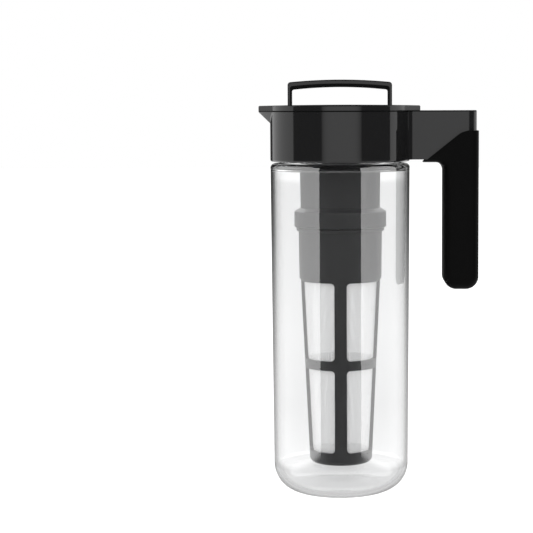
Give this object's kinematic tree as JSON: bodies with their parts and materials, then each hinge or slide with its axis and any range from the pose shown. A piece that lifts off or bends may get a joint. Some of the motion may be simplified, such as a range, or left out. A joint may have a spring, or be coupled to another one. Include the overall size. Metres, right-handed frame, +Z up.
{
  "type": "cold brew coffee maker",
  "caption": "Cold brew coffee maker: clear round jug with pouring collar, spout, side handle, airtight lid with fold-down bail, and a mesh brewing filter hanging from the lid.",
  "frame": {"origin": "on the jug's axis, in the plane that it stands on", "axes": "+Z up along the jug's axis; the spout points to -X and the handle to +X; the bail folds down towards -Y"},
  "size_m": [0.1417, 0.0902, 0.2682],
  "materials": {
    "clear_plastic": "clear moulded plastic, polished",
    "black_gloss": "polished black",
    "inner_black": "satin moulded",
    "soft_grip": "soft matte",
    "filter_grey": "satin moulded, dark grey",
    "fine_mesh": "fine woven mesh",
    "silicone": "matte translucent grey",
    "steel": "plain"
  },
  "bodies": {
    "jug": {"jug_body": "clear_plastic", "neck_seal": "silicone", "collar": "black_gloss", "throat_ring": "inner_black", "handle_core": "inner_black", "handle_screws": "steel", "grip_sleeve": "soft_grip"},
    "lid": {"lid_cover": "black_gloss", "lid_tray": "inner_black", "lid_plug": "inner_black", "lid_seal": "silicone", "pivot_pins": "steel", "tube_seal": "silicone"},
    "bail": {"bail": "black_gloss"},
    "push_ring": {"push_ring": "inner_black"},
    "filter_tube": {"filter_tube": "filter_grey"},
    "basket": {"basket_frame": "filter_grey", "mesh_sleeve": "fine_mesh", "basket_seal": "silicone"}
  },
  "joints": [
    {"name": "lid_lift", "type": "slide", "parent": "jug", "child": "lid", "axis": [0, 0, 1], "range_m": [0, 0.24]},
    {"name": "bail_fold", "type": "hinge", "parent": "lid", "child": "bail", "pos_m": [0, 0, 0.2485], "axis": [1, 0, 0], "range_deg": [0, 90]},
    {"name": "seal_squeeze", "type": "slide", "parent": "lid", "child": "push_ring", "axis": [0, 0, -1], "range_m": [0, 0.002], "deforming": ["lid_seal"]},
    {"name": "filter_turn", "type": "hinge", "parent": "lid", "child": "filter_tube", "pos_m": [0, 0, 0.21], "axis": [0, 0, 1], "range_deg": [0, 45]},
    {"name": "basket_turn", "type": "hinge", "parent": "filter_tube", "child": "basket", "pos_m": [0, 0, 0.175], "axis": [0, 0, 1], "range_deg": [0, 45]}
  ],
  "couplings": [
    {"joint": "seal_squeeze", "follows": "bail_fold", "m_per_rad": 0.001273}
  ]
}
